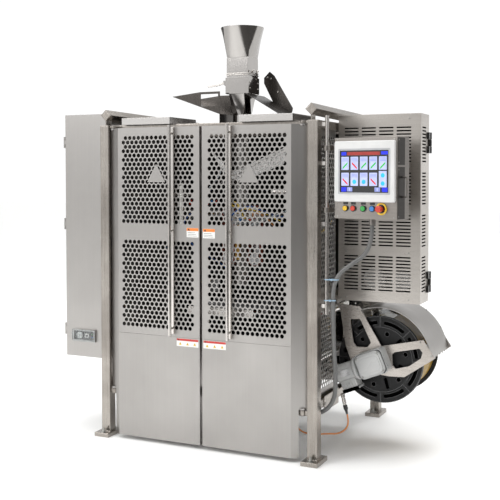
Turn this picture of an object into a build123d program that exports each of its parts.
"""Vertical form fill sealer: a film-reel bagging machine with hopper, guard doors and control pendant.

Frame: +Z up, +X to the right of an operator facing the doors, +Y towards the back.
The origin is on the floor, at the centre of the four feet. All sizes are millimetres.
"""
from build123d import *
from math import acos, atan2, cos, degrees, hypot, pi, radians, sin, tan
import os

os.makedirs("parts", exist_ok=True)

# ---------------------------------------------------------------- driving dimensions
leg_spacing_x = 1144.0
leg_spacing_y = 960.0
leg_width = 50.0            # along X
leg_depth = 50.0            # along Y
leg_wall = 3.0
frame_top = 1600.0
foot_width = 82.0
foot_length = 138.0
foot_thickness = 20.0
anchor_hole_r = 7.0
anchor_offset = 47.0        # anchor hole from the leg's centre, along Y
rail = 40.0                 # square rails
front_rail_y = -445.0       # set back to leave room for the door edges to swing
low_rail_z = 270.0
mid_rail_z = 760.0
leg_x = leg_spacing_x / 2
leg_y = leg_spacing_y / 2
rail_x = leg_x              # side rails run in line with the legs
inner_x = leg_x - leg_width / 2
outer_x = leg_x + leg_width / 2
rail_outer = rail_x + rail / 2

door_front_y = -528.0
door_bottom = 22.0
door_top = frame_top - 17.0
door_gap = 14.0
door_face_edge = leg_x - 97.0   # where the flat front turns into the flank
flank_x = 69.5
flank_y = 43.0
flank_bottom = 250.0        # the flank is cut back below this height
sheet = 3.0
door_flange = 25.0
seam_z = 547.0              # top of the plain lower panel
hole_r = 10.0
hole_pitch = 25.4
hole_columns = 16
upper_field_z = 1323.0
lower_field_z = 801.0
field_rows = 20
field_centre_x = 245.0
pivot_x = leg_x - 52.0      # door pivot axis
pivot_inset = 34.0          # behind the door's front plane
pivot_r = 8.0
running_clearance = 0.05    # radial, on every turning or sliding fit
contact_gap = 0.3

handle_x = 158.0
handle_r = 8.0
handle_standoff = 30.0
handle_bottom = 555.0
handle_top = door_top + 7.0

tube_y = -59.0              # forming tube axis, X = 0
tube_r = 40.0
tube_wall = 1.5
tube_bottom = 760.0
plate_thickness = 8.0
bulkhead_y = 150.0

neck_half = 62.0
neck_bottom = frame_top + 250.0
funnel_bottom = neck_bottom + 111.0
funnel_top = funnel_bottom + 159.0
funnel_r = 115.0
box_half = 65.0
box_bottom = neck_bottom - 78.0

film_width = 266.0
film_thickness = 0.5
roll_r = 190.0
core_r = 38.0
reel_x = outer_x + 211.0
reel_z = 458.0
disc_r = 210.0
disc_thickness = 12.0
arm_thickness = 10.0
spindle_r = 15.0
guard_r = 250.0
roller_r = 25.0
journal_r = 10.0

enclosure_gap = 21.0        # between its side and the frame's rails
enclosure_width = 261.0
enclosure_right = -rail_outer - enclosure_gap
enclosure_left = enclosure_right - enclosure_width
enclosure_front = -428.0
enclosure_depth = 400.0
enclosure_bottom = 378.0
enclosure_top = frame_top + 65.0
enclosure_door_t = 20.0

cabinet_gap = 8.0
cabinet_width = 405.0
cabinet_left = rail_outer + cabinet_gap
cabinet_right = cabinet_left + cabinet_width
cabinet_front = -228.0
cabinet_depth = 150.0
cabinet_bottom = 737.0
cabinet_top = frame_top + 35.0
slot_length = 72.0
slot_height = 7.0
slot_pitch_z = 16.0
slot_pitch_x = 86.0

mast_x = outer_x + 32.0
mast_y = -468.0
mast_r = 10.0
panel_yaw = 12.4
bezel_width = 312.0
bezel_height = 275.0
bezel_x = mast_x + 189.0
bezel_y = -507.0
bezel_z = 1362.0
hmi_box_width = 322.0
hmi_box_depth = 110.0
hmi_box_bottom = 1147.0
hmi_box_top = 1515.0
conduit_r = 10.5
cable_r = 4.0

# worked out from the above
film_front = tube_y - film_width / 2
film_back = tube_y + film_width / 2
pivot_y = door_front_y + pivot_inset


# ---------------------------------------------------------------- small builders
def block(x0, x1, y0, y1, z0, z1, mode=Mode.ADD):
    """A box between two corners, added to the part being built."""
    with Locations(((x0 + x1) / 2, (y0 + y1) / 2, (z0 + z1) / 2)):
        Box(abs(x1 - x0), abs(y1 - y0), abs(z1 - z0), mode=mode)


def bar_x(y, z, r, x0, x1, mode=Mode.ADD):
    """A round bar along X."""
    with Locations(Location(((x0 + x1) / 2, y, z), (0, 90, 0))):
        Cylinder(r, abs(x1 - x0), mode=mode)


def bar_y(x, z, r, y0, y1, mode=Mode.ADD):
    """A round bar along Y."""
    with Locations(Location((x, (y0 + y1) / 2, z), (90, 0, 0))):
        Cylinder(r, abs(y1 - y0), mode=mode)


def bar_z(x, y, r, z0, z1, mode=Mode.ADD):
    """A round bar along Z."""
    with Locations((x, y, (z0 + z1) / 2)):
        Cylinder(r, abs(z1 - z0), mode=mode)


def slab_xz(points, y0, y1, corner=0.0, mode=Mode.ADD):
    """A plate with an outline in X and Z, from y0 to y1, its corners rounded."""
    with BuildSketch(Plane.XZ.offset(-y0)) as outline:
        with BuildLine():
            Polyline(*points, close=True)
        make_face()
        if corner > 0:
            fillet(outline.vertices(), corner)
    extrude(outline.sketch, amount=-(y1 - y0), mode=mode)


def slab_xy(points, z0, z1, corner=0.0, mode=Mode.ADD):
    """A plate with an outline in X and Y, from z0 to z1."""
    with BuildSketch(Plane.XY.offset(z0)) as outline:
        with BuildLine():
            Polyline(*points, close=True)
        make_face()
        if corner > 0:
            fillet(outline.vertices(), corner)
    extrude(outline.sketch, amount=z1 - z0, mode=mode)


def staggered(columns, rows):
    """Hole centres of perforated sheet: rows a pitch apart, every second row half a pitch over."""
    row_pitch = hole_pitch * sin(radians(60))
    places = []
    for row in range(rows):
        shift = hole_pitch / 4 if row % 2 else -hole_pitch / 4
        for column in range(columns):
            across = (column - (columns - 1) / 2) * hole_pitch + shift
            places.append((across, (row - (rows - 1) / 2) * row_pitch))
    return places


def save(builder, label):
    """Name a finished piece and write it out."""
    builder.part.label = label
    export_step(builder.part, f"parts/{label}.step")


# ---------------------------------------------------------------- frame
with BuildPart() as legs:
    for side in (-1, 1):
        for end in (-1, 1):
            x = side * leg_x
            y = end * leg_y
            block(x - leg_width / 2, x + leg_width / 2, y - leg_depth / 2, y + leg_depth / 2,
                  foot_thickness, frame_top)
            block(x - leg_width / 2 + leg_wall, x + leg_width / 2 - leg_wall,
                  y - leg_depth / 2 + leg_wall, y + leg_depth / 2 - leg_wall,
                  foot_thickness, frame_top - leg_wall, mode=Mode.SUBTRACT)
            block(x - foot_width / 2, x + foot_width / 2, y - foot_length / 2, y + foot_length / 2,
                  0, foot_thickness)
            for offset in (-anchor_offset, anchor_offset):
                bar_z(x, y + offset, anchor_hole_r, -1, foot_thickness + 1, mode=Mode.SUBTRACT)
save(legs, "legs")

rail_end_y = leg_y - leg_depth / 2
weld_gap = 0.05             # keeps each rail a solid of its own
cross_rail_ys = (-200.0, bulkhead_y + plate_thickness / 2)
low_cross_y = bulkhead_y + plate_thickness / 2
with BuildPart() as frame_rails:
    for side in (-1, 1):
        for z in (low_rail_z, mid_rail_z, frame_top - rail / 2):
            block(side * rail_x - rail / 2, side * rail_x + rail / 2, -rail_end_y, rail_end_y,
                  z - rail / 2, z + rail / 2)
    cross_x = rail_x - rail / 2 - weld_gap
    for y in cross_rail_ys:
        block(-cross_x, cross_x, y - rail / 2, y + rail / 2, frame_top - rail, frame_top)
    block(-cross_x, cross_x, low_cross_y - rail / 2, low_cross_y + rail / 2,
          low_rail_z - rail / 2, low_rail_z + rail / 2)
    for z in (frame_top - rail / 2, low_rail_z):
        block(-inner_x, inner_x, leg_y - rail / 2, leg_y + rail / 2, z - rail / 2, z + rail / 2)
        block(-inner_x, inner_x, front_rail_y - rail / 2, front_rail_y + rail / 2,
              z - rail / 2, z + rail / 2)
save(frame_rails, "frame_rails")

beam_side = 40.0
beam_x = leg_x - 8.0
beam_front_z = frame_top + 51.0
beam_drop = 16.0            # the beams fall slightly towards the back
beam_plate = 6.0
with BuildPart() as top_beams:
    half = beam_side / 2 * 2 ** 0.5
    for side in (-1, 1):
        x = side * beam_x
        length = leg_spacing_y + leg_depth
        tilt = degrees(atan2(beam_drop, length))
        front = Plane(origin=(x, -leg_y - leg_depth / 2, beam_front_z), x_dir=(1, 0, 0),
                      z_dir=(0, cos(radians(tilt)), -sin(radians(tilt))))
        with BuildSketch(front):
            Rectangle(beam_side, beam_side, rotation=45)
            Rectangle(beam_side - 6, beam_side - 6, rotation=45, mode=Mode.SUBTRACT)
        extrude(amount=length)
        with BuildSketch(front):
            Rectangle(beam_side, beam_side, rotation=45)
        extrude(amount=3.0)
        for y in (-leg_y, leg_y):
            drop = beam_drop * (y + leg_y + leg_depth / 2) / length
            block(x - beam_plate / 2, x + beam_plate / 2, y - leg_depth / 2 + 4, y + leg_depth / 2,
                  frame_top, beam_front_z - drop - half + 4)
save(top_beams, "top_beams")

cover_inner = 190.0
cover_outer = leg_x - 102.0
cover_back = -225.0
cover_rise = 34.0
with BuildPart() as roof_covers:
    for side in (-1, 1):
        block(side * cover_inner, side * cover_outer, door_front_y + 30, cover_back,
              frame_top, frame_top + cover_rise)
        block(side * (cover_inner + 2), side * (cover_outer - 2), door_front_y + 32, cover_back - 2,
              frame_top - 1, frame_top + cover_rise - 2, mode=Mode.SUBTRACT)
save(roof_covers, "roof_covers")

# ---------------------------------------------------------------- rollers and film path
lower_idler_x = leg_x - 47.0
lower_idler_z = 675.0
roller_spacing = 51.0       # keeps the film between neighbouring rollers upright
dancer_x = lower_idler_x - roller_spacing
dancer_z = 430.0
top_idler_x = dancer_x - roller_spacing
top_idler_z = frame_top - 100.0
film_offset = contact_gap + film_thickness / 2


def tangent_points(c1, r1, c2, r2, side):
    """Where a web that runs on the same side of two rolls touches them."""
    across = (c2[0] - c1[0], c2[1] - c1[1])
    distance = hypot(*across)
    turn = atan2(across[1], across[0]) + side * acos((r1 - r2) / distance)
    normal = (cos(turn), sin(turn))
    return ((c1[0] + r1 * normal[0], c1[1] + r1 * normal[1]),
            (c2[0] + r2 * normal[0], c2[1] + r2 * normal[1]))


def web_span(start, end):
    """A flat run of film between two points in X and Z."""
    length = hypot(end[0] - start[0], end[1] - start[1])
    along = ((end[0] - start[0]) / length, (end[1] - start[1]) / length)
    up = (-along[1] * film_thickness / 2, along[0] * film_thickness / 2)
    slab_xz([(start[0] + up[0], start[1] + up[1]), (end[0] + up[0], end[1] + up[1]),
             (end[0] - up[0], end[1] - up[1]), (start[0] - up[0], start[1] - up[1])],
            film_front + 3, film_back - 3)


shoulder_tip = (250.0, frame_top - 130.0)
web_r = roller_r + film_offset
roll_leave, idler_meet = tangent_points((reel_x, reel_z), roll_r + film_offset,
                                        (lower_idler_x, lower_idler_z), web_r, -1)
top_leave, shoulder_meet = tangent_points((top_idler_x, top_idler_z), web_r, shoulder_tip, 1.0, -1)
with BuildPart() as film_web:
    web_span(roll_leave, idler_meet)
    web_span((lower_idler_x - web_r, lower_idler_z), (dancer_x + web_r, dancer_z))
    web_span((dancer_x - web_r, dancer_z), (top_idler_x + web_r, top_idler_z))
    web_span(top_leave, shoulder_meet)
save(film_web, "film_web")


def roller(x, z):
    """A plain roller with a journal at its back end."""
    bar_y(x, z, roller_r, film_front - 5, film_back + 5)
    bar_y(x, z, journal_r + 6, film_back + 5, film_back + 20)
    bar_y(x, z, journal_r, film_back + 5, bulkhead_y + plate_thickness)


with BuildPart() as lower_idler:
    roller(lower_idler_x, lower_idler_z)
save(lower_idler, "lower_idler")
with BuildPart() as top_idler:
    roller(top_idler_x, top_idler_z)
save(top_idler, "top_idler")

rod_r = 12.0
dancer_rod_dx = 45.0
dancer_rod_y = 105.0
dancer_travel = 120.0
dancer_rod_bottom = dancer_z - 90
dancer_rod_top = dancer_z + dancer_travel + 90
carriage_y0 = dancer_rod_y - 22
carriage_y1 = dancer_rod_y + 22
with BuildPart() as dancer_roller:
    bar_y(dancer_x, dancer_z, roller_r, film_front - 5, film_back + 5)
    bar_y(dancer_x, dancer_z, journal_r, film_back + 5, carriage_y1)
save(dancer_roller, "dancer_roller")
with BuildPart() as dancer_carriage:
    block(dancer_x - dancer_rod_dx - 24, dancer_x + dancer_rod_dx + 24, carriage_y0, carriage_y1,
          dancer_z - 35, dancer_z + 35)
    bar_y(dancer_x, dancer_z, journal_r + running_clearance, carriage_y0 - 1, carriage_y1 + 1,
          mode=Mode.SUBTRACT)
    for dx in (-dancer_rod_dx, dancer_rod_dx):
        bar_z(dancer_x + dx, dancer_rod_y, rod_r + running_clearance, dancer_z - 40, dancer_z + 40,
              mode=Mode.SUBTRACT)
save(dancer_carriage, "dancer_carriage")

# ---------------------------------------------------------------- sealing station
jaw_z = 650.0
jaw_height = 60.0
jaw_half = 130.0
jaw_thickness = 60.0
jaw_open = 40.0
jaw_rod_x = 160.0
jaw_tie_y = -312.0
knife_gap = 1.5
knife_depth = 50.0
seal_arm_z = 1025.0
seal_rod_x = 165.0
seal_back = tube_y - tube_r - 2.0
seal_front = seal_back - 22.0
pulley_r = 30.0
belt_thickness = 5.0
belt_width = 40.0
pulley_x = tube_r + contact_gap * 3 + belt_thickness + pulley_r
pulley_low_z = 900.0
pulley_high_z = 1150.0
belt_plate_y = tube_y + belt_width / 2 + 4
belt_plate_t = 8.0
belt_strut = 15.0

with BuildPart() as guide_rods:
    for x in (-jaw_rod_x, jaw_rod_x):
        bar_y(x, jaw_z, rod_r, jaw_tie_y, bulkhead_y)
    block(-jaw_rod_x - 25, jaw_rod_x + 25, jaw_tie_y - 12, jaw_tie_y, jaw_z - 20, jaw_z + 20)
    bar_y(seal_rod_x, seal_arm_z, journal_r, seal_front - 60, bulkhead_y)
    for dx in (-dancer_rod_dx, dancer_rod_dx):
        bar_z(dancer_x + dx, dancer_rod_y, rod_r, dancer_rod_bottom, dancer_rod_top)
    for z in (dancer_rod_bottom, dancer_rod_top):
        block(dancer_x - dancer_rod_dx - 20, dancer_x + dancer_rod_dx + 20, dancer_rod_y - 20, bulkhead_y,
              z - 12, z + 12)
save(guide_rods, "guide_rods")


def jaw(front, back):
    """A crimping jaw with a bearing block at each end, sliding on the jaw rods."""
    block(-jaw_half, jaw_half, front, back, jaw_z - jaw_height / 2, jaw_z + jaw_height / 2)
    for side in (-1, 1):
        block(side * jaw_half, side * (jaw_rod_x + 25), front + 5, back - 5, jaw_z - 25, jaw_z + 25)
        bar_y(side * jaw_rod_x, jaw_z, rod_r + running_clearance, front - 1, back + 1, mode=Mode.SUBTRACT)


front_face = tube_y - jaw_open
back_face = tube_y + jaw_open
with BuildPart() as jaw_front:
    jaw(front_face - jaw_thickness, front_face)
    block(-jaw_half + 12, jaw_half - 12, front_face - knife_depth - 15, front_face + 1,
          jaw_z - knife_gap, jaw_z + knife_gap, mode=Mode.SUBTRACT)
save(jaw_front, "jaw_front")
with BuildPart() as jaw_rear:
    jaw(back_face, back_face + jaw_thickness)
    block(-jaw_half + 12, jaw_half - 12, back_face - 1, back_face + 20,
          jaw_z - knife_gap, jaw_z + knife_gap, mode=Mode.SUBTRACT)
save(jaw_rear, "jaw_rear")
with BuildPart() as knife:
    block(-jaw_half + 15, jaw_half - 15, front_face - knife_depth, front_face - 2, jaw_z - 1, jaw_z + 1)
save(knife, "knife")

with BuildPart() as seal_bar:
    block(-12, 12, seal_front, seal_back, pulley_low_z, pulley_high_z)
    block(12, seal_rod_x + 18, seal_front, seal_front + 12, seal_arm_z - 18, seal_arm_z + 18)
    block(seal_rod_x - 18, seal_rod_x + 18, seal_front, seal_front + 45, seal_arm_z - 18, seal_arm_z + 18)
    bar_y(seal_rod_x, seal_arm_z, journal_r + running_clearance, seal_front - 1, seal_front + 46,
          mode=Mode.SUBTRACT)
save(seal_bar, "seal_bar")

with BuildPart() as belt_brackets:
    for side in (-1, 1):
        x = side * pulley_x
        block(x - 25, x + 25, belt_plate_y, belt_plate_y + belt_plate_t, pulley_low_z - 25, pulley_high_z + 25)
        for z in (pulley_low_z, pulley_high_z):
            bar_y(x, z, journal_r + running_clearance, belt_plate_y - 1, belt_plate_y + belt_plate_t + 1,
                  mode=Mode.SUBTRACT)
        for z in (pulley_low_z + 70, pulley_high_z - 70):
            bar_y(x, z, belt_strut, belt_plate_y + belt_plate_t, bulkhead_y)
save(belt_brackets, "belt_brackets")

with BuildPart() as pull_belts:
    for side in (-1, 1):
        x = side * pulley_x
        run = pulley_high_z - pulley_low_z
        for reach, how in ((pulley_r + belt_thickness, Mode.ADD), (pulley_r + contact_gap, Mode.SUBTRACT)):
            with BuildSketch(Plane.XZ.offset(-(tube_y - belt_width / 2))):
                with Locations((x, (pulley_low_z + pulley_high_z) / 2)):
                    SlotCenterToCenter(run, 2 * reach, rotation=90)
            extrude(amount=-belt_width, mode=how)
save(pull_belts, "pull_belts")


def pulley(x, z):
    """A belt pulley with its shaft running back through the bracket plate."""
    bar_y(x, z, pulley_r, tube_y - belt_width / 2 - 2, tube_y + belt_width / 2 + 2)
    bar_y(x, z, journal_r, tube_y - belt_width / 2 - 8, belt_plate_y + belt_plate_t)


for side, side_name in ((-1, "left"), (1, "right")):
    for z, kind in ((pulley_high_z, "drive"), (pulley_low_z, "idle")):
        with BuildPart() as belt_pulley:
            pulley(side * pulley_x, z)
            for turn in range(3):
                angle = radians(30 + 120 * turn)
                bar_y(side * pulley_x + 20 * cos(angle), z + 20 * sin(angle), 5,
                      tube_y - belt_width, tube_y + belt_width / 2 + 3, mode=Mode.SUBTRACT)
        save(belt_pulley, f"{side_name}_{kind}_pulley")

bulkhead_half = inner_x - 2.0
with BuildPart() as bulkhead:
    block(-bulkhead_half, bulkhead_half, bulkhead_y, bulkhead_y + plate_thickness,
          low_rail_z + rail / 2, frame_top - rail)
    for x, z in ((lower_idler_x, lower_idler_z), (top_idler_x, top_idler_z)):
        bar_y(x, z, journal_r + running_clearance, bulkhead_y - 1, bulkhead_y + plate_thickness + 1,
              mode=Mode.SUBTRACT)
save(bulkhead, "bulkhead")

# ---------------------------------------------------------------- forming set
with BuildPart() as forming_tube:
    bar_z(0, tube_y, tube_r, tube_bottom, frame_top + 8)
    bar_z(0, tube_y, tube_r - tube_wall, tube_bottom - 1, frame_top + 9, mode=Mode.SUBTRACT)
save(forming_tube, "forming_tube")

collar_gap = 2.0
collar_low = frame_top - 310.0
collar_high = collar_low + 50.0
shoulder_drop = (-90.0, collar_low)
with BuildPart() as forming_shoulder:
    along = hypot(shoulder_tip[0] - shoulder_drop[0], shoulder_tip[1] - shoulder_drop[1])
    rise = (shoulder_tip[1] - shoulder_drop[1]) / along
    reach = (shoulder_tip[0] - shoulder_drop[0]) / along
    slab_xz([shoulder_drop, shoulder_tip,
             (shoulder_tip[0] + 3 * rise, shoulder_tip[1] - 3 * reach),
             (shoulder_drop[0] + 3 * rise, shoulder_drop[1] - 3 * reach)],
            tube_y - film_width / 2, tube_y + film_width / 2)
    bar_z(0, tube_y, tube_r + collar_gap + 4, collar_low - 20, collar_high + 60)
    overhang = 200.0            # the cut runs past both ends of the sloping plate
    overhang_rise = overhang * rise / reach
    slab_xz([(shoulder_drop[0] - overhang, shoulder_drop[1] - overhang_rise),
             (shoulder_drop[0] - overhang, frame_top), (shoulder_tip[0] + overhang, frame_top),
             (shoulder_tip[0] + overhang, shoulder_tip[1] + overhang_rise)],
            tube_y - 60, tube_y + 60, mode=Mode.SUBTRACT)
    bar_z(0, tube_y, tube_r + collar_gap, collar_low - 60, collar_high + 140, mode=Mode.SUBTRACT)
    for x in (90.0, 170.0):
        z = shoulder_drop[1] + (x - shoulder_drop[0]) * rise / reach - 18
        block(x - 10, x + 10, tube_y + film_width / 2 - 20, bulkhead_y, z - 10, z + 10)
        block(x - 6, x + 6, tube_y + film_width / 2 - 20, tube_y + film_width / 2 - 8, z, z + 16)
save(forming_shoulder, "forming_shoulder")

# ---------------------------------------------------------------- hopper, neck and tray
hopper_wall = 2.0
fit_gap = 0.5


def funnel(shrink):
    """The square neck end and the round rim, each pulled in by the wall, ready to loft."""
    with BuildSketch(Plane((0, tube_y, funnel_bottom))) as square:
        RectangleRounded(2 * (neck_half - shrink), 2 * (neck_half - shrink), 6.0)
    with BuildSketch(Plane((0, tube_y, funnel_top))) as rim:
        Circle(funnel_r - shrink)
    return [square.sketch, rim.sketch]


with BuildPart() as hopper:
    loft(funnel(0))
    block(-neck_half, neck_half, tube_y - neck_half, tube_y + neck_half, neck_bottom, funnel_bottom)
    inner = neck_half - hopper_wall
    block(-inner, inner, tube_y - inner, tube_y + inner, neck_bottom - 1, funnel_bottom, mode=Mode.SUBTRACT)
    loft(funnel(hopper_wall), mode=Mode.SUBTRACT)
save(hopper, "hopper")

hopper_plate_top = frame_top + plate_thickness
transition_low = frame_top + 60.0
plate_left = -160.0
plate_right = 264.0
clamp_x = -box_half - hopper_wall - 30
clamp_z = neck_bottom - 12.0
clamp_pin_r = 4.0
with BuildPart() as hopper_neck:
    block(-box_half - hopper_wall, box_half + hopper_wall, tube_y - box_half - hopper_wall,
          tube_y + box_half + hopper_wall, box_bottom, neck_bottom + 8)
    bar_z(0, tube_y, tube_r + 10, hopper_plate_top, transition_low)
    with BuildSketch(Plane((0, tube_y, transition_low))):
        RegularPolygon(tube_r + 12, 8)
    with BuildSketch(Plane((0, tube_y, box_bottom))):
        Rectangle(2 * box_half - 8, 2 * box_half - 8)
        chamfer(vertices(), 24)
    loft()
    block(plate_left, plate_right, cross_rail_ys[0] - rail / 2, low_cross_y + rail / 2,
          frame_top, hopper_plate_top)
    bar_z(0, tube_y, tube_r + contact_gap, frame_top - 1, hopper_plate_top, mode=Mode.SUBTRACT)
    bar_z(0, tube_y, tube_r - tube_wall, hopper_plate_top - 1, box_bottom + 3, mode=Mode.SUBTRACT)
    block(-neck_half - fit_gap, neck_half + fit_gap, tube_y - neck_half - fit_gap,
          tube_y + neck_half + fit_gap, neck_bottom, neck_bottom + 9, mode=Mode.SUBTRACT)
    block(-neck_half + hopper_wall, neck_half - hopper_wall, tube_y - neck_half + hopper_wall,
          tube_y + neck_half - hopper_wall, box_bottom + 3, neck_bottom + 1, mode=Mode.SUBTRACT)
    for y0, y1 in ((tube_y - 14, tube_y - 9), (tube_y + 9, tube_y + 14)):
        slab_xz([(clamp_x - 10, clamp_z - 10), (clamp_x - 10, clamp_z + 10), (clamp_x + 10, clamp_z + 12),
                 (-box_half - hopper_wall, clamp_z + 14), (-box_half - hopper_wall, clamp_z - 40)], y0, y1)
    bar_y(clamp_x, clamp_z, clamp_pin_r, tube_y - 14, tube_y + 14)
save(hopper_neck, "hopper_neck")

tray_front = tube_y - 120.0
tray_back = tube_y + 120.0
tray_tip = (-357.0, frame_top + 165.0)
tray_foot = (-74.0, frame_top + 65.0)
tray_top = frame_top + 182.0
tray_window_low = frame_top + 106.0
tray_right_top = (box_half + 6.0, frame_top + 168.0)
tray_right_foot = (256.0, frame_top + 60.0)
tray_sheet = 2.0
with BuildPart() as chute_tray:
    slab_xz([tray_tip, (tray_foot[0], tray_foot[1]), (tray_foot[0], hopper_plate_top),
             (tray_foot[0] - tray_sheet, hopper_plate_top), (tray_foot[0] - tray_sheet, tray_foot[1] - 1),
             (tray_tip[0], tray_tip[1] - tray_sheet)], tray_front, tray_back)
    for y in (tray_front, tray_back - tray_sheet):
        slab_xz([(tray_tip[0], tray_tip[1] - 1), (-190, tray_top), (-box_half - 8, tray_top),
                 (tray_foot[0], tray_foot[1] - 1)], y, y + tray_sheet)
    block(-186, -84, tray_front - 1, tray_front + tray_sheet + 1, tray_window_low, tray_top - 12, mode=Mode.SUBTRACT)
    slab_xz([tray_right_top, (tray_right_top[0] + 2.5, tray_right_top[1]), tray_right_foot,
             (tray_right_foot[0], hopper_plate_top), (tray_right_foot[0] - tray_sheet, hopper_plate_top),
             (tray_right_foot[0] - tray_sheet, tray_right_foot[1] - 1)], tray_front, tray_back)
    slab_xz([(box_half + 4, neck_bottom + 18), (102, neck_bottom + 50), (128, neck_bottom + 28),
             (236, neck_bottom - 150), (214, hopper_plate_top), (188, hopper_plate_top),
             (box_half + 4, neck_bottom - 12)], tray_back + 4, tray_back + 10)
save(chute_tray, "chute_tray")

with BuildPart() as toggle_clamp:
    bar_y(clamp_x, clamp_z, 9, tube_y - 8, tube_y + 8)
    slab_xz([(clamp_x - 6, clamp_z - 6), (clamp_x + 4, clamp_z + 7), (clamp_x - 60, clamp_z - 8),
             (clamp_x - 108, clamp_z - 14), (clamp_x - 108, clamp_z - 22), (clamp_x - 60, clamp_z - 18)],
            tube_y - 7, tube_y + 7)
    bar_y(clamp_x, clamp_z, clamp_pin_r + running_clearance, tube_y - 20, tube_y + 20, mode=Mode.SUBTRACT)
save(toggle_clamp, "toggle_clamp")

# ---------------------------------------------------------------- guard doors
seam_groove = 2.0
lug_height = 8.0
lug_r = 16.0
bracket_r = 14.0
low_flank_x = 31.0
bracket_gap = 4.0


def door(side):
    """One guard door: perforated above, plain below, with an angled flank at its hinged edge."""
    inner = door_gap / 2
    middle = side * (inner + door_face_edge) / 2
    places = [(side * field_centre_x + across, field_z + up)
              for field_z in (upper_field_z, lower_field_z)
              for across, up in staggered(hole_columns, field_rows)]
    length = hypot(flank_x, flank_y)
    across = (-flank_y / length * sheet, flank_x / length * sheet)
    for z0, z1, reach in ((flank_bottom, door_top, 1.0), (door_bottom, flank_bottom, low_flank_x / flank_x)):
        far = (door_face_edge + flank_x * reach, door_front_y + flank_y * reach)
        slab_xy([(side * door_face_edge, door_front_y), (side * far[0], far[1]),
                 (side * (far[0] + across[0]), far[1] + across[1]),
                 (side * (door_face_edge - 1), door_front_y + sheet)], z0, z1)
    block(side * inner, side * (inner + sheet), door_front_y + sheet, door_front_y + sheet + door_flange,
          door_bottom, door_top)
    for z in (door_bottom, seam_z - 6, door_top - sheet):
        block(side * (inner + sheet), side * (door_face_edge - 6), door_front_y + sheet,
              door_front_y + sheet + door_flange - 5, z, z + sheet)
    block(side * inner, side * door_face_edge, door_front_y + sheet, door_front_y + 2 * sheet,
          seam_z - 12, seam_z + 12)
    for z in (flank_bottom, door_top - lug_height):
        slab_xy([(side * (door_face_edge + 1), door_front_y + sheet - 0.5), (side * (pivot_x + 8), pivot_y),
                 (side * pivot_x, pivot_y + 12), (side * (door_face_edge + 1), pivot_y + 12)],
                z, z + lug_height)
        bar_z(side * pivot_x, pivot_y, lug_r, z, z + lug_height)
        bar_z(side * pivot_x, pivot_y, pivot_r + running_clearance, z - 1, z + lug_height + 1,
              mode=Mode.SUBTRACT)
    with BuildSketch(Plane.XZ.offset(-door_front_y)) as face:
        for z0, z1 in ((door_bottom, seam_z - seam_groove / 2), (seam_z + seam_groove / 2, door_top)):
            with Locations((middle, (z0 + z1) / 2)):
                Rectangle(door_face_edge - inner, z1 - z0)
        with Locations(*places):
            Circle(hole_r, mode=Mode.SUBTRACT)
    extrude(face.sketch, amount=-sheet)


with BuildPart() as left_door:
    door(-1)
save(left_door, "left_door")
with BuildPart() as right_door:
    door(1)
save(right_door, "right_door")

back_bar_half = 10.0
back_bar_t = 4.0


def door_handle(side):
    """A full-height grab rod on stand-offs, with a flat bar against the door."""
    x = side * handle_x
    rod_y = door_front_y - handle_standoff
    bar_z(x, rod_y, handle_r, handle_bottom, handle_top)
    block(x - back_bar_half, x + back_bar_half, door_front_y - back_bar_t, door_front_y,
          handle_bottom + 5, door_top - 3)
    for z in (handle_bottom + 35, (handle_bottom + handle_top) / 2, handle_top - 40):
        bar_y(x, z, handle_r - 2, rod_y, door_front_y - back_bar_t)


with BuildPart() as left_door_handle:
    door_handle(-1)
save(left_door_handle, "left_door_handle")
with BuildPart() as right_door_handle:
    door_handle(1)
save(right_door_handle, "right_door_handle")

with BuildPart() as door_pivots:
    for side in (-1, 1):
        low = flank_bottom - bracket_gap
        high = door_top + bracket_gap - 1
        for z0, z1, pin0, pin1 in ((low - 24, low, low, flank_bottom + lug_height),
                                   (high, high + 12, door_top - lug_height, high)):
            bar_z(side * pivot_x, pivot_y, bracket_r, z0, z1)
            block(side * pivot_x, side * inner_x, pivot_y - 2, pivot_y + bracket_r, z0, z1)
            bar_z(side * pivot_x, pivot_y, pivot_r, pin0, pin1)
save(door_pivots, "door_pivots")

# ---------------------------------------------------------------- side covers
cover_t = 3.0
rail_gap_low = (low_rail_z + rail / 2, mid_rail_z - rail / 2)
rail_gap_high = (mid_rail_z + rail / 2, frame_top - rail)
guard_back_y = -200.0
with BuildPart() as side_cover_left:
    for z0, z1 in (rail_gap_low, rail_gap_high):
        block(-rail_x - cover_t, -rail_x, -rail_end_y, rail_end_y, z0, z1)
save(side_cover_left, "side_cover_left")

with BuildPart() as side_guard_right:
    for z0, z1, rows in ((*rail_gap_low, 17), (*rail_gap_high, 33)):
        middle_y = (-rail_end_y + guard_back_y) / 2
        places = [(middle_y + across, (z0 + z1) / 2 + up) for across, up in staggered(9, rows)]
        with BuildSketch(Plane.YZ.offset(rail_x)) as face:
            with Locations((middle_y, (z0 + z1) / 2)):
                Rectangle(guard_back_y + rail_end_y, z1 - z0)
            with Locations(*places):
                Circle(hole_r, mode=Mode.SUBTRACT)
        extrude(face.sketch, amount=cover_t)
save(side_guard_right, "side_guard_right")

with BuildPart() as rear_cover:
    block(-inner_x + 1, inner_x - 1, leg_y + rail / 2, leg_y + rail / 2 + cover_t,
          low_rail_z - rail / 2, frame_top)
    for column in range(2):
        for row in range(8):
            x = (column * 2 - 1) * 250
            z = 1180 + row * 30
            block(x - 80, x + 80, leg_y, leg_y + rail, z, z + 8, mode=Mode.SUBTRACT)
save(rear_cover, "rear_cover")

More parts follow.
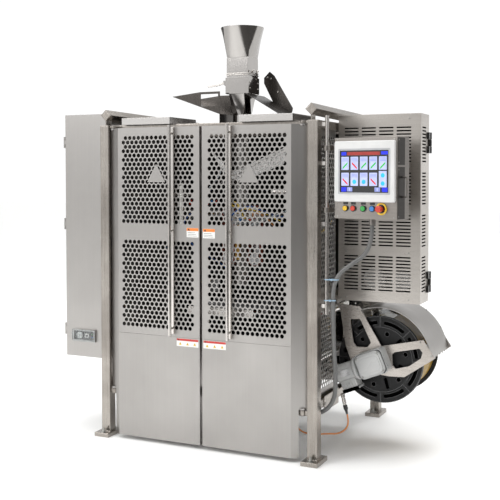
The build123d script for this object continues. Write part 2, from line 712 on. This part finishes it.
# ---------------------------------------------------------------- electrical enclosure
shell = 2.0
body_front = enclosure_front + enclosure_door_t + 0.5
hinge_x = enclosure_left - 9.0
hinge_y = enclosure_front + enclosure_door_t / 2
hinge_pin_r = 4.0
knuckle_r = 8.0
hinge_zs = (520.0, 1085.0, enclosure_top - 145.0)
enclosure_back = enclosure_front + enclosure_depth
with BuildPart() as enclosure_body:
    block(enclosure_left, enclosure_right, body_front, enclosure_back, enclosure_bottom, enclosure_top)
    block(enclosure_left + shell, enclosure_right - shell, body_front - 1, enclosure_back - shell,
          enclosure_bottom + shell, enclosure_top - shell, mode=Mode.SUBTRACT)
    for y in (-330.0, -130.0):
        for z in (mid_rail_z, frame_top - rail / 2):
            block(enclosure_right, -rail_outer, y - 25, y + 25, z - 15, z + 15)
    for z in hinge_zs:
        for z0, z1 in ((z - 30, z - 10), (z + 10, z + 30)):
            bar_z(hinge_x, hinge_y, knuckle_r, z0, z1)
            block(enclosure_left - 5, enclosure_left, hinge_y, body_front + 30, z0, z1)
        bar_z(hinge_x, hinge_y, hinge_pin_r, z - 30, z + 30)
save(enclosure_body, "enclosure_body")

port_width = 142.0
port_x0 = enclosure_left + 47.0
port_x1 = port_x0 + port_width
port_z0 = 460.0
port_z1 = 524.0
port_depth = 10.0
port_pin_r = 2.0
port_hinge_x = port_x0 - 4.0
port_hinge_y = enclosure_front - port_depth
latch_x = enclosure_right - 22.0
latch_z = 1021.0
latch_r = 6.0
with BuildPart() as enclosure_door:
    block(enclosure_left, enclosure_right, enclosure_front, enclosure_front + enclosure_door_t,
          enclosure_bottom, enclosure_top)
    block(enclosure_left + shell, enclosure_right - shell, enclosure_front + shell,
          enclosure_front + enclosure_door_t + 1, enclosure_bottom + shell, enclosure_top - shell,
          mode=Mode.SUBTRACT)
    block(latch_x - 12, latch_x + 12, enclosure_front + shell, enclosure_front + enclosure_door_t,
          latch_z - 20, latch_z + 20)
    bar_y(latch_x, latch_z, latch_r + running_clearance, enclosure_front - 1,
          enclosure_front + enclosure_door_t + 1, mode=Mode.SUBTRACT)
    block(port_x0, port_x1, enclosure_front - port_depth + 0.5, enclosure_front, port_z0, port_z1)
    block(port_x0 + 8, port_x1 - 8, enclosure_front - port_depth, enclosure_front, port_z0 + 8, port_z1 - 8,
          mode=Mode.SUBTRACT)
    for z in hinge_zs:
        bar_z(hinge_x, hinge_y, knuckle_r, z - 9.5, z + 9.5)
        block(enclosure_left - 6, enclosure_left, hinge_y - 8, hinge_y + 4, z - 9.5, z + 9.5)
        bar_z(hinge_x, hinge_y, hinge_pin_r + running_clearance, z - 20, z + 20, mode=Mode.SUBTRACT)
    for z0, z1 in ((port_z0 + 4, port_z0 + 14), (port_z1 - 14, port_z1 - 4)):
        bar_z(port_hinge_x, port_hinge_y, 3.5, z0, z1)
        block(port_hinge_x, port_x0 + 2, port_hinge_y + 0.5, enclosure_front, z0, z1)
    bar_z(port_hinge_x, port_hinge_y, port_pin_r, port_z0 + 4, port_z1 - 4)
save(enclosure_door, "enclosure_door")

with BuildPart() as enclosure_latch:
    bar_y(latch_x, latch_z, latch_r, enclosure_front - 4, enclosure_front + enclosure_door_t - 2)
    bar_y(latch_x, latch_z, 13, enclosure_front - 8, enclosure_front - 0.4)
    block(latch_x - 4, latch_x + 4, enclosure_front - 18, enclosure_front - 8, latch_z - 19, latch_z + 19)
save(enclosure_latch, "enclosure_latch")

with BuildPart() as port_cover:
    block(port_x0, port_x1, port_hinge_y - 3, port_hinge_y, port_z0, port_z1)
    block(port_hinge_x, port_x0, port_hinge_y - 3, port_hinge_y, port_z0 + 15, port_z1 - 15)
    bar_z(port_hinge_x, port_hinge_y, 3.5, port_z0 + 15, port_z1 - 15)
    bar_z(port_hinge_x, port_hinge_y, port_pin_r + running_clearance, port_z0, port_z1, mode=Mode.SUBTRACT)
save(port_cover, "port_cover")

# ---------------------------------------------------------------- louvred cabinet
cabinet_back = cabinet_front + cabinet_depth
slot_groups = ((795.0, 11), (1010.0, 10), (1210.0, 10), (1410.0, 11))
cabinet_hinge_x = cabinet_right + 6.0
cabinet_hinge_y = cabinet_back + 2.0
cabinet_hinge_zs = (cabinet_bottom + 93.0, cabinet_top - 135.0)
door_t = 2.0


def slot_rows():
    """Heights of every louvre slot, in groups with plain bands between them."""
    return [start + row * slot_pitch_z for start, rows in slot_groups for row in range(rows)]


with BuildPart() as louvre_cabinet:
    block(cabinet_left, cabinet_right, cabinet_front, cabinet_back, cabinet_bottom, cabinet_top)
    block(cabinet_left + shell, cabinet_right - shell, cabinet_front + shell, cabinet_back + 1,
          cabinet_bottom + shell, cabinet_top - shell, mode=Mode.SUBTRACT)
    for z0, z1 in ((mid_rail_z + 1, mid_rail_z + 18), (frame_top - rail + 5, frame_top - 5)):
        block(rail_outer, cabinet_left, cabinet_front + 20, cabinet_front + 110, z0, z1)
    for z in cabinet_hinge_zs:
        for z0, z1 in ((z - 50, z - 16), (z + 16, z + 50)):
            bar_z(cabinet_hinge_x, cabinet_hinge_y, 6, z0, z1)
            block(cabinet_right, cabinet_hinge_x, cabinet_hinge_y - 20, cabinet_hinge_y - 2, z0, z1)
        bar_z(cabinet_hinge_x, cabinet_hinge_y, 3, z - 50, z + 50)
    cabinet_middle = (cabinet_left + cabinet_right) / 2
    places = [(cabinet_middle - 8 + (column - 1.5) * slot_pitch_x, z)
              for column in range(4) for z in slot_rows()]
    with BuildSketch(Plane.XZ.offset(-cabinet_front)) as slots:
        with Locations(*places):
            SlotOverall(slot_length, slot_height)
    extrude(slots.sketch, amount=-shell, mode=Mode.SUBTRACT)
    with BuildSketch(Plane.YZ.offset(cabinet_right)) as side_slots:
        with Locations(*[(cabinet_front + cabinet_depth * 0.42, z) for z in slot_rows()]):
            SlotOverall(slot_length, slot_height)
    extrude(side_slots.sketch, amount=-shell, mode=Mode.SUBTRACT)
save(louvre_cabinet, "louvre_cabinet")

with BuildPart() as louvre_door:
    block(cabinet_left, cabinet_right, cabinet_back + 0.5, cabinet_back + 0.5 + door_t,
          cabinet_bottom, cabinet_top)
    for z in cabinet_hinge_zs:
        bar_z(cabinet_hinge_x, cabinet_hinge_y, 6, z - 15.5, z + 15.5)
        block(cabinet_right - 20, cabinet_hinge_x, cabinet_back + 0.5, cabinet_back + 0.5 + door_t,
              z - 15.5, z + 15.5)
        bar_z(cabinet_hinge_x, cabinet_hinge_y, 3 + running_clearance, z - 20, z + 20, mode=Mode.SUBTRACT)
    block(cabinet_left + 20, cabinet_left + 32, cabinet_back + 0.5 + door_t, cabinet_back + 22,
          1150, 1250)
save(louvre_door, "louvre_door")

# ---------------------------------------------------------------- control pendant
yaw = radians(panel_yaw)
panel = Plane(origin=(bezel_x, bezel_y, bezel_z), x_dir=(cos(yaw), -sin(yaw), 0),
              z_dir=(-sin(yaw), -cos(yaw), 0))
bezel_t = 14.0
window_width = 252.0
window_height = 190.0
window_depth = 6.0
glass_t = 3.0
button_row = -167.0
button_r = 11.0
button_travel = 4.0
button_xs = {"yellow": -102.0, "red": -61.0, "green": -9.0, "blue": 38.0}
estop_x = 84.0
estop_ring_r = 28.0
estop_head_r = 15.5
estop_head_out = 36.0       # the mushroom head stands well proud of its ring
estop_head_t = 14.0
collar_t = 5.0


def panel_block(x0, x1, y0, y1, z0, z1, corner=0.0, mode=Mode.ADD):
    """A box in the panel's own axes: x to its right, y up, z out of its face."""
    with BuildSketch(panel.offset(z0)) as outline:
        with Locations(((x0 + x1) / 2, (y0 + y1) / 2)):
            if corner > 0:
                RectangleRounded(x1 - x0, y1 - y0, corner)
            else:
                Rectangle(x1 - x0, y1 - y0)
    extrude(outline.sketch, amount=z1 - z0, mode=mode)


def panel_round(x, y, r, z0, z1, mode=Mode.ADD):
    """A cylinder standing out of the panel's face."""
    with BuildSketch(panel.offset(z0)) as outline:
        with Locations((x, y)):
            Circle(r)
    extrude(outline.sketch, amount=z1 - z0, mode=mode)


box_low = hmi_box_bottom - bezel_z
box_high = hmi_box_top - bezel_z
box_half_x = hmi_box_width / 2
box_front_z = -bezel_t
box_back_z = -bezel_t - hmi_box_depth
mast_local_x = (mast_x - bezel_x) * cos(yaw) - (mast_y - bezel_y) * sin(yaw)
mast_local_z = -(mast_x - bezel_x) * sin(yaw) - (mast_y - bezel_y) * cos(yaw)
collar_zs = (1185.0, 1470.0)
collar_r = 18.0
collar_half = 12.0
gland_r = 15.0
gland_length = 28.0
gland_local = (5.0, (box_front_z + box_back_z) / 2)
gland_x = bezel_x + gland_local[0] * cos(yaw) - gland_local[1] * sin(yaw)
gland_y = bezel_y - gland_local[0] * sin(yaw) - gland_local[1] * cos(yaw)

with BuildPart() as hmi_box:
    panel_block(-box_half_x, box_half_x, box_low, box_high, box_back_z, box_front_z)
    panel_block(-box_half_x + shell, box_half_x - shell, box_low + shell, box_high - shell,
                box_back_z + shell, box_front_z - shell, mode=Mode.SUBTRACT)
    for x in (*button_xs.values(), estop_x):
        panel_round(x, button_row, button_r + running_clearance, box_front_z - 5, box_front_z + 1,
                    mode=Mode.SUBTRACT)
    for z in collar_zs:
        low = z - bezel_z - collar_half
        high = z - bezel_z + collar_half
        panel_block(mast_local_x - 14, mast_local_x + 14, low, high, mast_local_z - 46, mast_local_z)
        panel_block(mast_local_x, -box_half_x, low, high, mast_local_z - 46, mast_local_z - 20)
        bar_z(mast_x, mast_y, collar_r, z - collar_half, z + collar_half)
        bar_z(mast_x, mast_y, mast_r + running_clearance, z - collar_half - 1, z + collar_half + 1,
              mode=Mode.SUBTRACT)
    panel_block(box_half_x, box_half_x + 22, -118, -110, -66, -58)
    panel_block(box_half_x, box_half_x + 22, -30, -22, -66, -58)
    panel_block(box_half_x + 22, box_half_x + 30, -118, -22, -66, -58)
    bar_z(gland_x, gland_y, gland_r, hmi_box_bottom - gland_length, hmi_box_bottom)
save(hmi_box, "hmi_box")

bezel_low = -bezel_height / 2
with BuildPart() as hmi_bezel:
    panel_block(-bezel_width / 2, bezel_width / 2, bezel_low, -bezel_low, -bezel_t, 0, corner=9)
    panel_block(-window_width / 2, window_width / 2, -window_height / 2, window_height / 2,
                -window_depth, 1, mode=Mode.SUBTRACT)
    chamfer(hmi_bezel.faces().sort_by(Axis((0, 0, 0), tuple(panel.z_dir)))[-1].outer_wire().edges(), 2.5)
save(hmi_bezel, "hmi_bezel")

with BuildPart() as hmi_screen:
    panel_block(-window_width / 2, window_width / 2, -window_height / 2, window_height / 2,
                -window_depth, -window_depth + glass_t)
save(hmi_screen, "hmi_screen")

with BuildPart() as legend_plates:
    for x in button_xs.values():
        panel_round(x, button_row, button_r + 4, box_front_z, box_front_z + collar_t)
        panel_round(x, button_row, button_r + 0.3, box_front_z, box_front_z + collar_t + 1,
                    mode=Mode.SUBTRACT)
        panel_block(x - 12, x + 12, button_row + 17, button_row + 28, box_front_z, box_front_z + 1.5)
    panel_round(estop_x, button_row, estop_ring_r, box_front_z, box_front_z + 2)
    panel_round(estop_x, button_row, button_r + 0.3, box_front_z, box_front_z + 3, mode=Mode.SUBTRACT)
save(legend_plates, "legend_plates")

for colour, x in button_xs.items():
    with BuildPart() as push_button:
        panel_round(x, button_row, button_r, box_front_z - 8, box_front_z + collar_t + 5)
    save(push_button, f"{colour}_button")

with BuildPart() as estop_button:
    panel_round(estop_x, button_row, button_r, box_front_z - 8, box_front_z + estop_head_out - estop_head_t)
    panel_round(estop_x, button_row, estop_head_r, box_front_z + estop_head_out - estop_head_t,
                box_front_z + estop_head_out)
    chamfer(estop_button.faces().sort_by(Axis((0, 0, 0), tuple(panel.z_dir)))[-1].edges(), 4)
save(estop_button, "estop_button")

mast_bottom = 700.0
mast_top = frame_top + 20.0
with BuildPart() as hmi_mast:
    bar_z(mast_x, mast_y, mast_r, mast_bottom, mast_top)
    for z in (740.0, 1120.0, 1400.0, mast_top - 40):
        block(outer_x, mast_x, mast_y - 8, mast_y + 8, z - 9, z + 9)
save(hmi_mast, "hmi_mast")

# ---------------------------------------------------------------- junction box and cords
junction_x1 = inner_x - 75.0
junction_z0 = 200.0
junction_y0 = -463.0
conduit_end_y = -425.0
conduit_end_z = 217.0
cable_end_x = junction_x1 - 26.0
cable_end_y = -395.0
cable_gland_length = 14.0
with BuildPart() as junction_box:
    block(junction_x1 - 84, junction_x1, junction_y0, junction_y0 + 88, junction_z0, low_rail_z - rail / 2)
    bar_x(conduit_end_y, conduit_end_z, gland_r, junction_x1, junction_x1 + gland_length)
    bar_z(cable_end_x, cable_end_y, 8, junction_z0 - cable_gland_length, junction_z0)
save(junction_box, "junction_box")


def cord_route(points, radius):
    """Straight runs joined by arcs as large as the runs allow; prints each bend's radius."""
    radii = []
    for before, corner, after in zip(points, points[1:], points[2:]):
        first = Vector(*corner) - Vector(*before)
        second = Vector(*after) - Vector(*corner)
        turn = radians(first.get_angle(second))
        radii.append(0.45 * min(first.length, second.length) / tan(turn / 2))
    print("bend radii", [round(r) for r in radii], "diameter", 2 * radius)
    with BuildLine() as route:
        FilletPolyline(*points, radius=radii)
    return route


def cord(points, radius):
    """A round cord swept along its route."""
    route = cord_route(points, radius)
    path = Wire(route.line.edges())
    heading = Vector(*points[1]) - Vector(*points[0])
    with BuildSketch(Plane(origin=points[0], z_dir=heading)) as section:
        Circle(radius)
    sweep(section.sketch, path=path)
    return sum(edge.length for edge in route.line.edges())


conduit_points = [
    (gland_x, gland_y, hmi_box_bottom - gland_length),
    (gland_x, gland_y, 1060),
    (810, -447, 982),
    (744, -452, 938),
    (686, -456, 894),
    (659, -458, 835),
    (654, -456, 760),
    (655, -450, 640),
    (657, -440, 510),
    (661, -431, 400),
    (656, conduit_end_y, 307),
    (623, conduit_end_y, 249),
    (567, conduit_end_y, conduit_end_z),
    (junction_x1 + gland_length, conduit_end_y, conduit_end_z),
]
with BuildPart() as hmi_conduit:
    conduit_length = cord(conduit_points, conduit_r)
save(hmi_conduit, "hmi_conduit")
print("conduit", round(conduit_length), "mm, volume ratio",
      round(hmi_conduit.part.volume / (pi * conduit_r ** 2 * conduit_length), 4))

plug_top = (reel_x - 163.0, -290.0, 290.0)
plug_end = (reel_x - 140.0, -288.0, 195.0)
cable_points = [
    plug_end,
    (676.9, -287.2, 158.1),
    (664, -294, 121),
    (629, -308, 100),
    (582, -327, 100),
    (531, -350, 96),
    (485, -375, 103),
    (456, -390, 123),
    (cable_end_x, cable_end_y, 156),
    (cable_end_x, cable_end_y, junction_z0 - cable_gland_length),
]
with BuildPart() as motor_cable:
    cable_length = cord(cable_points, cable_r)
save(motor_cable, "motor_cable")
print("cable", round(cable_length), "mm, volume ratio",
      round(motor_cable.part.volume / (pi * cable_r ** 2 * cable_length), 4))

# ---------------------------------------------------------------- film reel
arm_front = film_front - 40.0
arm_back = film_back + 30.0
arm_pad_top = mid_rail_z - 2.0
arm_pad_low = arm_pad_top - 36.0
arm_pad_t = 7.0


def from_axis(*offsets):
    """Points in X and Z, given from the reel's axis."""
    return [(reel_x + x, reel_z + z) for x, z in offsets]


arm_outline = [(rail_outer, arm_pad_top), (rail_outer + arm_pad_t, arm_pad_top),
               (rail_outer + arm_pad_t, arm_pad_low),
               *from_axis((-168, 258), (-101, 253), (12, 69), (216, 114), (270, 30), (125, -70),
                          (49, -73), (-108, -58), (-142, -10), (-168, 57), (-196, 232)),
               (rail_outer, arm_pad_low - 10)]
upper_window = from_axis((-146, 189), (-95, 192), (-40, 82), (-58, 58), (-113, 56), (-128, 77))
right_window = from_axis((64, 34), (77, 45), (197, 72), (212, 54), (204, 26), (147, -16), (82, -34),
                         (68, -18))
with BuildPart() as reel_arms:
    for y in (arm_front, arm_back):
        slab_xz(arm_outline, y, y + arm_thickness)
        slab_xz(upper_window, y - 1, y + arm_thickness + 1, corner=8, mode=Mode.SUBTRACT)
        slab_xz(right_window, y - 1, y + arm_thickness + 1, corner=4, mode=Mode.SUBTRACT)
    block(rail_outer, rail_outer + arm_pad_t, arm_front, arm_back + arm_thickness, arm_pad_low, arm_pad_top)
    bar_y(reel_x, reel_z, spindle_r + running_clearance, arm_front - 1, arm_back + arm_thickness + 1,
          mode=Mode.SUBTRACT)
save(reel_arms, "reel_arms")

spindle_front = arm_front - 30.0
with BuildPart() as reel_spindle:
    bar_y(reel_x, reel_z, spindle_r, spindle_front, arm_back + arm_thickness + 6)
save(reel_spindle, "reel_spindle")

disc_clearance = 2.0
hub_length = 15.0
rim_slot_r = disc_r - 32.0  # centre line of the long slots near the rim
rim_slot_half = 9.0
rim_slot_turn = 29.0


def reel_polar(r, angle):
    """A point in X and Z at a radius and an angle in degrees about the reel's axis."""
    return (reel_x + r * cos(radians(angle)), reel_z + r * sin(radians(angle)))


def rim_slot(start):
    """A curved slot with round ends, cut out of the disc being sketched."""
    end = start + rim_slot_turn
    cap = degrees(rim_slot_half / rim_slot_r)
    far = rim_slot_r + rim_slot_half
    near = rim_slot_r - rim_slot_half
    with BuildLine() as border:
        CenterArc((reel_x, reel_z), far, start, rim_slot_turn)
        CenterArc((reel_x, reel_z), near, start, rim_slot_turn)
        ThreePointArc(reel_polar(far, start), reel_polar(rim_slot_r, start - cap), reel_polar(near, start))
        ThreePointArc(reel_polar(far, end), reel_polar(rim_slot_r, end + cap), reel_polar(near, end))
    make_face(border.edges(), mode=Mode.SUBTRACT)


def reel_disc(outside, inside):
    """A slotted flange with a hub that enters the roll's core; outside is its far face."""
    with BuildSketch(Plane.XZ.offset(-min(outside, inside))) as face:
        with Locations((reel_x, reel_z)):
            Circle(disc_r)
            Circle(spindle_r, mode=Mode.SUBTRACT)
        for step in range(8):
            rim_slot(step * 45 + 8)
        for step in range(6):
            angle = radians(60 * step + 15)
            with Locations((reel_x + 128 * cos(angle), reel_z + 128 * sin(angle))):
                Circle(11, mode=Mode.SUBTRACT)
            angle += radians(30)
            with Locations((reel_x + 118 * cos(angle), reel_z + 118 * sin(angle))):
                SlotOverall(56, 16, rotation=degrees(angle), mode=Mode.SUBTRACT)
    extrude(face.sketch, amount=-disc_thickness)
    toward = 1 if inside > outside else -1
    with BuildSketch(Plane.XZ.offset(-inside)) as hub:
        with Locations((reel_x, reel_z)):
            Circle(core_r - contact_gap)
            Circle(spindle_r, mode=Mode.SUBTRACT)
    extrude(hub.sketch, amount=-toward * (hub_length + disc_clearance))


with BuildPart() as reel_discs:
    reel_disc(film_front - disc_clearance - disc_thickness, film_front - disc_clearance)
    reel_disc(film_back + disc_clearance + disc_thickness, film_back + disc_clearance)
save(reel_discs, "reel_discs")

with BuildPart() as film_roll:
    bar_y(reel_x, reel_z, roll_r, film_front, film_back)
    bar_y(reel_x, reel_z, core_r, film_front - 1, film_back + 1, mode=Mode.SUBTRACT)
save(film_roll, "film_roll")

motor_tilt = radians(22)
gear = Plane(origin=(reel_x, arm_front, reel_z), x_dir=(-cos(motor_tilt), 0, -sin(motor_tilt)),
             z_dir=(0, -1, 0))
gear_depth = 92.0
motor_axis_out = 56.0
motor_r = 46.0


def gear_block(x0, x1, y0, y1, z0, z1, corner):
    """A rounded block in the gearmotor's axes: x along the motor, z out from the arm."""
    with BuildSketch(gear.offset(z0)) as outline:
        with Locations(((x0 + x1) / 2, (y0 + y1) / 2)):
            RectangleRounded(x1 - x0, y1 - y0, corner)
    extrude(outline.sketch, amount=z1 - z0)


def gear_round(x0, x1, r):
    """A cylinder on the motor's axis."""
    centre = gear.from_local_coords(Vector(x0, 0, motor_axis_out))
    with BuildSketch(Plane(origin=centre, z_dir=gear.x_dir)) as outline:
        Circle(r)
    extrude(outline.sketch, amount=x1 - x0)


with BuildPart() as reel_gearmotor:
    gear_block(-52, 92, -60, 60, 0, gear_depth - 10, 18)
    gear_block(-44, 84, -54, 54, gear_depth - 10, gear_depth, 24)
    gear_round(90, 104, motor_r + 8)
    gear_round(104, 196, motor_r)
    gear_round(196, 210, motor_r - 4)
    gear_block(112, 190, motor_r - 12, motor_r + 40, 18, motor_axis_out + 32, 6)
    bar_y(reel_x, reel_z, spindle_r + running_clearance, spindle_front - 3, arm_front + 1,
          mode=Mode.SUBTRACT)
    along = Vector(*plug_end) - Vector(*plug_top)
    with BuildSketch(Plane(origin=plug_top, z_dir=along)) as plug:
        Circle(10)
    extrude(plug.sketch, amount=along.length)
save(reel_gearmotor, "reel_gearmotor")

guard_t = 3.0
guard_start = 5.0
guard_turn = 107.0
with BuildPart() as film_guard:
    with BuildSketch(Plane.XZ.offset(-(arm_front + arm_thickness))) as section:
        with BuildLine():
            inner_arc = CenterArc((reel_x, reel_z), guard_r, guard_start, guard_turn)
            outer_arc = CenterArc((reel_x, reel_z), guard_r + guard_t, guard_start, guard_turn)
            Line(inner_arc @ 0, outer_arc @ 0)
            Line(inner_arc @ 1, outer_arc @ 1)
        make_face()
    extrude(section.sketch, amount=-(arm_back - arm_front - arm_thickness))
save(film_guard, "film_guard")
